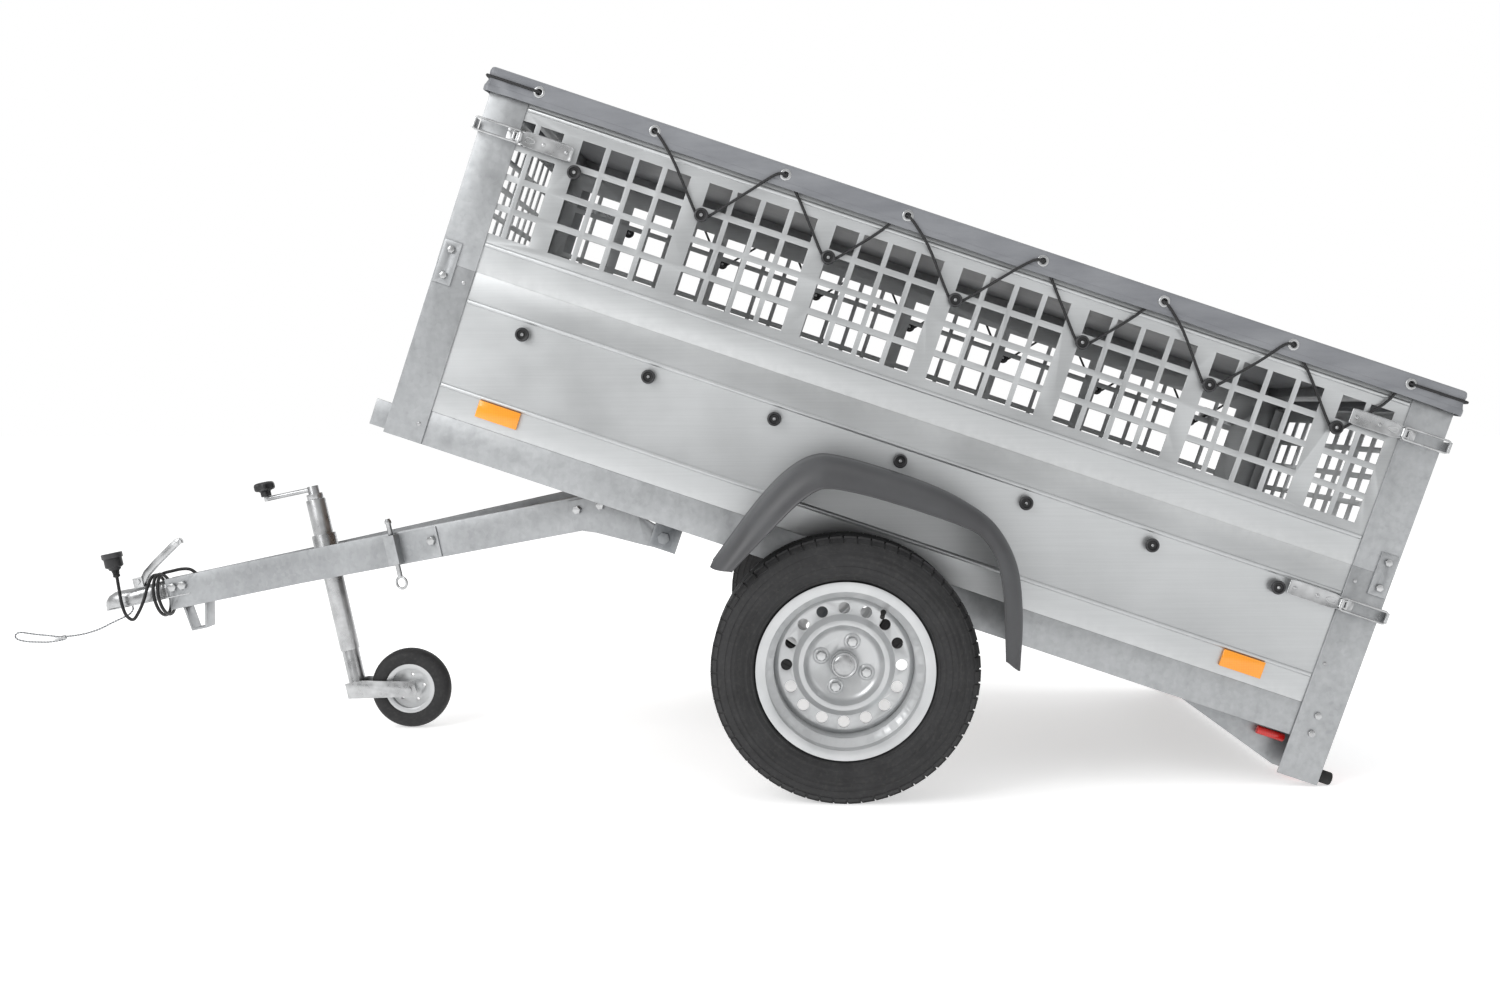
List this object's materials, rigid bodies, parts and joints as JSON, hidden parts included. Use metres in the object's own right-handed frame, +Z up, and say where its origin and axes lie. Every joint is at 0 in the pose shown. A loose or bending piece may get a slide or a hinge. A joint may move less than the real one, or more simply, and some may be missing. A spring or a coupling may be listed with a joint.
{
  "type": "tipping box trailer",
  "caption": "Tipping single-axle box trailer with mesh side walls, laced flat cover, V drawbar with ball coupling and jockey wheel.",
  "frame": {"origin": "centre of the footprint box on the floor, trailer tipped", "axes": "+X to the trailer's rear, +Y to its right side, +Z up"},
  "size_m": [3.3346, 1.48, 1.5133],
  "materials": {
    "galvanised": "hot-dip galvanised steel with soft spangle",
    "board_sheet": "pre-galvanised satin sheet",
    "plywood": "film-faced plywood",
    "zinc_plate": "bright zinc plating",
    "cover_cloth": "coated cover cloth, matte",
    "elastic_cord": "braided elastic cord",
    "black_plastic": "moulded plastic",
    "amber": "prismatic reflector",
    "fender_plastic": "grained moulded plastic",
    "dark_steel": "shaded galvanised steel",
    "red_lens": "moulded lens",
    "rubber": "solid rubber",
    "steel_wire": "stranded steel wire",
    "cable_sheath": "cable sheath",
    "brass_nut": "machined",
    "tyre_rubber": "moulded tyre rubber",
    "rim_paint": "silver wheel paint"
  },
  "bodies": {
    "chassis": {"side_sills": "galvanised", "crossmembers": "galvanised", "floor_panel": "plywood", "side_boards": "board_sheet", "front_board": "board_sheet", "lower_posts": "galvanised", "upper_posts": "galvanised", "joining_plates": "zinc_plate", "mesh_sides": "board_sheet", "upper_end_rails": "galvanised", "tarp_cover": "cover_cloth", "lacing_cord": "elastic_cord", "rope_hooks": "black_plastic", "side_reflectors": "amber", "body_fasteners": "zinc_plate", "latch_bases": "zinc_plate", "tip_brackets": "galvanised", "axle_beam": "galvanised", "fenders": "fender_plastic", "rear_light_beam": "dark_steel", "rear_lamps": "red_lens", "rubber_bumpers": "rubber"},
    "drawbar": {"drawbar_beams": "galvanised", "pivot_arms": "galvanised", "coupling_body": "zinc_plate", "jockey_clamp": "galvanised", "jockey_outer_tube": "zinc_plate", "front_stand": "zinc_plate", "tip_catch_bracket": "galvanised", "drawbar_bolts": "zinc_plate", "safety_wire": "steel_wire", "plug_cable": "cable_sheath", "plug": "black_plastic"},
    "crank": {"crank_handle": "zinc_plate"},
    "crank_knob": {"crank_knob": "black_plastic"},
    "spindle_nut": {"spindle_nut": "brass_nut"},
    "jockey_fork": {"jockey_fork": "zinc_plate"},
    "jockey_wheel": {"jockey_rim": "zinc_plate", "jockey_tyre": "tyre_rubber"},
    "wheel_left": {"tyre_left": "tyre_rubber", "rim_left": "rim_paint"},
    "wheel_right": {"tyre_right": "tyre_rubber", "rim_right": "rim_paint"},
    "tailgate": {"tailgate": "board_sheet"},
    "front_mesh_gate": {"front_mesh_gate": "board_sheet"},
    "rear_mesh_gate": {"rear_mesh_gate": "board_sheet"},
    "coupling_handle": {"coupling_handle": "zinc_plate"},
    "tip_catch_pin": {"tip_catch_pin": "zinc_plate"},
    "lever_front_left": {"lever_front_left": "zinc_plate"},
    "bow_front_left": {"bow_front_left": "zinc_plate"},
    "lever_front_right": {"lever_front_right": "zinc_plate"},
    "bow_front_right": {"bow_front_right": "zinc_plate"},
    "lever_rear_left": {"lever_rear_left": "zinc_plate"},
    "bow_rear_left": {"bow_rear_left": "zinc_plate"},
    "lever_rear_right": {"lever_rear_right": "zinc_plate"},
    "bow_rear_right": {"bow_rear_right": "zinc_plate"},
    "lever_gate_left": {"lever_gate_left": "zinc_plate"},
    "bow_gate_left": {"bow_gate_left": "zinc_plate"},
    "lever_gate_right": {"lever_gate_right": "zinc_plate"},
    "bow_gate_right": {"bow_gate_right": "zinc_plate"}
  },
  "joints": [
    {"name": "drawbar_tip", "type": "hinge", "parent": "chassis", "child": "drawbar", "pos_m": [-0.12511, 0, 0.51457], "axis": [0, 1, 0], "range_deg": [0, 30.45]},
    {"name": "crank_turn", "type": "hinge", "parent": "drawbar", "child": "crank", "pos_m": [-1.03342, 0, 0.59855], "axis": [-0.2079, 0, 0.9781], "range_deg": [0, 2160]},
    {"name": "knob_spin", "type": "hinge", "parent": "crank", "child": "crank_knob", "pos_m": [-1.15377, 0, 0.5924], "axis": [-0.2079, 0, 0.9781], "continuous": true},
    {"name": "jockey_raise", "type": "slide", "parent": "drawbar", "child": "spindle_nut", "axis": [-0.2079, 0, 0.9781], "range_m": [0, 0.06]},
    {"name": "jockey_swivel", "type": "hinge", "parent": "spindle_nut", "child": "jockey_fork", "pos_m": [-0.97708, 0, 0.33348], "axis": [-0.2079, 0, 0.9781], "continuous": true},
    {"name": "jockey_wheel_spin", "type": "hinge", "parent": "jockey_fork", "child": "jockey_wheel", "pos_m": [-0.79353, 0, 0.1], "axis": [0, 1, 0], "continuous": true},
    {"name": "wheel_left_spin", "type": "hinge", "parent": "chassis", "child": "wheel_left", "pos_m": [0.26568, -0.642, 0.2735], "axis": [0, 1, 0], "continuous": true},
    {"name": "wheel_right_spin", "type": "hinge", "parent": "chassis", "child": "wheel_right", "pos_m": [0.26568, 0.642, 0.2735], "axis": [0, 1, 0], "continuous": true},
    {"name": "tailgate_hinge", "type": "hinge", "parent": "chassis", "child": "tailgate", "pos_m": [1.31203, 0, 0.09835], "axis": [0, 1, 0], "range_deg": [0, 85]},
    {"name": "front_gate_hinge", "type": "hinge", "parent": "chassis", "child": "front_mesh_gate", "pos_m": [-0.574, 0, 1.12817], "axis": [0, -1, 0], "range_deg": [0, 90]},
    {"name": "rear_gate_hinge", "type": "hinge", "parent": "chassis", "child": "rear_mesh_gate", "pos_m": [1.41806, 0, 0.46357], "axis": [0, 1, 0], "range_deg": [0, 90]},
    {"name": "coupling_lift", "type": "hinge", "parent": "drawbar", "child": "coupling_handle", "pos_m": [-1.47682, 0, 0.36629], "axis": [0, -1, 0], "range_deg": [0, 35]},
    {"name": "catch_pull", "type": "slide", "parent": "drawbar", "child": "tip_catch_pin", "axis": [0.2079, 0, -0.9781], "range_m": [0, 0.02], "stiffness_N_per_m": 800},
    {"name": "lever_front_left_open", "type": "hinge", "parent": "chassis", "child": "lever_front_left", "pos_m": [-0.42278, -0.5515, 1.36973], "axis": [-0.3165, 0, -0.9486], "range_deg": [0, 100]},
    {"name": "bow_front_left_turn", "type": "hinge", "parent": "lever_front_left", "child": "bow_front_left", "pos_m": [-0.40855, -0.5595, 1.36498], "axis": [-0.3165, 0, -0.9486], "range_deg": [-100, 0]},
    {"name": "lever_front_right_open", "type": "hinge", "parent": "chassis", "child": "lever_front_right", "pos_m": [-0.42278, 0.5515, 1.36973], "axis": [0.3165, 0, 0.9486], "range_deg": [0, 100]},
    {"name": "bow_front_right_turn", "type": "hinge", "parent": "lever_front_right", "child": "bow_front_right", "pos_m": [-0.40855, 0.5595, 1.36498], "axis": [0.3165, 0, 0.9486], "range_deg": [-100, 0]},
    {"name": "lever_rear_left_open", "type": "hinge", "parent": "chassis", "child": "lever_rear_left", "pos_m": [1.44217, -0.5515, 0.74753], "axis": [0.3165, 0, 0.9486], "range_deg": [0, 100]},
    {"name": "bow_rear_left_turn", "type": "hinge", "parent": "lever_rear_left", "child": "bow_rear_left", "pos_m": [1.42794, -0.5595, 0.75228], "axis": [0.3165, 0, 0.9486], "range_deg": [-100, 0]},
    {"name": "lever_rear_right_open", "type": "hinge", "parent": "chassis", "child": "lever_rear_right", "pos_m": [1.44217, 0.5515, 0.74753], "axis": [-0.3165, 0, -0.9486], "range_deg": [0, 100]},
    {"name": "bow_rear_right_turn", "type": "hinge", "parent": "lever_rear_right", "child": "bow_rear_right", "pos_m": [1.42794, 0.5595, 0.75228], "axis": [-0.3165, 0, -0.9486], "range_deg": [-100, 0]},
    {"name": "lever_gate_left_open", "type": "hinge", "parent": "chassis", "child": "lever_gate_left", "pos_m": [1.32286, -0.5515, 0.38991], "axis": [0.3165, 0, 0.9486], "range_deg": [0, 100]},
    {"name": "bow_gate_left_turn", "type": "hinge", "parent": "lever_gate_left", "child": "bow_gate_left", "pos_m": [1.30863, -0.5595, 0.39466], "axis": [0.3165, 0, 0.9486], "range_deg": [-100, 0]},
    {"name": "lever_gate_right_open", "type": "hinge", "parent": "chassis", "child": "lever_gate_right", "pos_m": [1.32286, 0.5515, 0.38991], "axis": [-0.3165, 0, -0.9486], "range_deg": [0, 100]},
    {"name": "bow_gate_right_turn", "type": "hinge", "parent": "lever_gate_right", "child": "bow_gate_right", "pos_m": [1.30863, 0.5595, 0.39466], "axis": [-0.3165, 0, -0.9486], "range_deg": [-100, 0]}
  ],
  "couplings": [
    {"joint": "jockey_raise", "follows": "crank_turn", "m_per_rad": 0.0015915},
    {"joint": "bow_front_left_turn", "follows": "lever_front_left_open", "ratio": -1},
    {"joint": "bow_front_right_turn", "follows": "lever_front_right_open", "ratio": -1},
    {"joint": "bow_rear_left_turn", "follows": "lever_rear_left_open", "ratio": -1},
    {"joint": "bow_rear_right_turn", "follows": "lever_rear_right_open", "ratio": -1},
    {"joint": "bow_gate_left_turn", "follows": "lever_gate_left_open", "ratio": -1},
    {"joint": "bow_gate_right_turn", "follows": "lever_gate_right_open", "ratio": -1}
  ]
}
